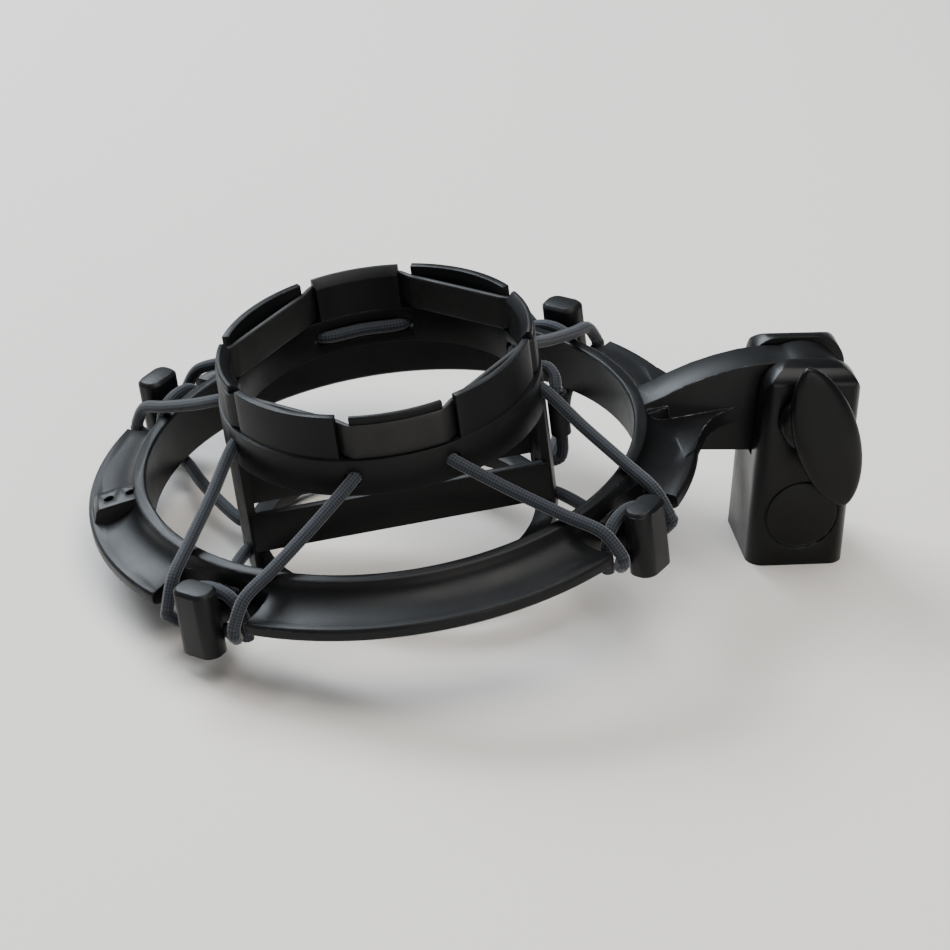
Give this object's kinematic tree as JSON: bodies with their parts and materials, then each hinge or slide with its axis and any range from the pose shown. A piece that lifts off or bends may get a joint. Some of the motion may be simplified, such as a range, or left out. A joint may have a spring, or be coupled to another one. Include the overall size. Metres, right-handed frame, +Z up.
{
  "type": "microphone shock mount",
  "caption": "Elastic suspension mount for a studio microphone: toothed basket on cord inside a ring, with a tilting arm, locking lever and threaded stand block.",
  "frame": {"origin": "centre of the stand block's underside, on the stand thread's axis", "axes": "+Z up the stand thread, the ring and basket lie towards -X, the lever is on the -Y side"},
  "size_m": [0.1563, 0.1252, 0.0553],
  "materials": {
    "ring_plastic": "satin, fine grained",
    "cage_plastic": "satin, fine grained",
    "block_plastic": "semi-gloss",
    "elastic": "braided",
    "grip_rubber": "matt",
    "sleeve": "matt",
    "brass": "machined",
    "steel": "blackened zinc",
    "nylon": "satin"
  },
  "bodies": {
    "stand": {"stand_block": "block_plastic", "thread_insert": "brass", "pivot_bolt": "steel", "friction_washers": "nylon"},
    "lever": {"wing_lever": "block_plastic", "lever_nut": "brass"},
    "ring": {"suspension_ring": "ring_plastic", "upper_cord_peg_turns": "elastic", "lower_cord_peg_turns": "elastic", "upper_cord_strands": "elastic", "lower_cord_strands": "elastic"},
    "basket": {"basket_cage": "cage_plastic", "grip_band": "grip_rubber", "upper_cord_inner_runs": "elastic", "lower_cord_foot_runs": "elastic", "cord_sleeve": "sleeve", "cord_joining_run": "elastic"}
  },
  "joints": [
    {"name": "ring_tilt", "type": "hinge", "parent": "stand", "child": "ring", "pos_m": [0, 0, 0.0346], "axis": [0, 1, 0], "range_deg": [-2, 150]},
    {"name": "lever_turn", "type": "hinge", "parent": "stand", "child": "lever", "pos_m": [0, 0, 0.0346], "axis": [0, 1, 0], "continuous": true},
    {"name": "basket_float", "type": "slide", "parent": "ring", "child": "basket", "axis": [-0.1719, 0, 0.9851], "range_m": [-0.004, 0.004], "stiffness_N_per_m": 1000, "deforming": ["upper_cord_strands", "lower_cord_strands"]}
  ]
}
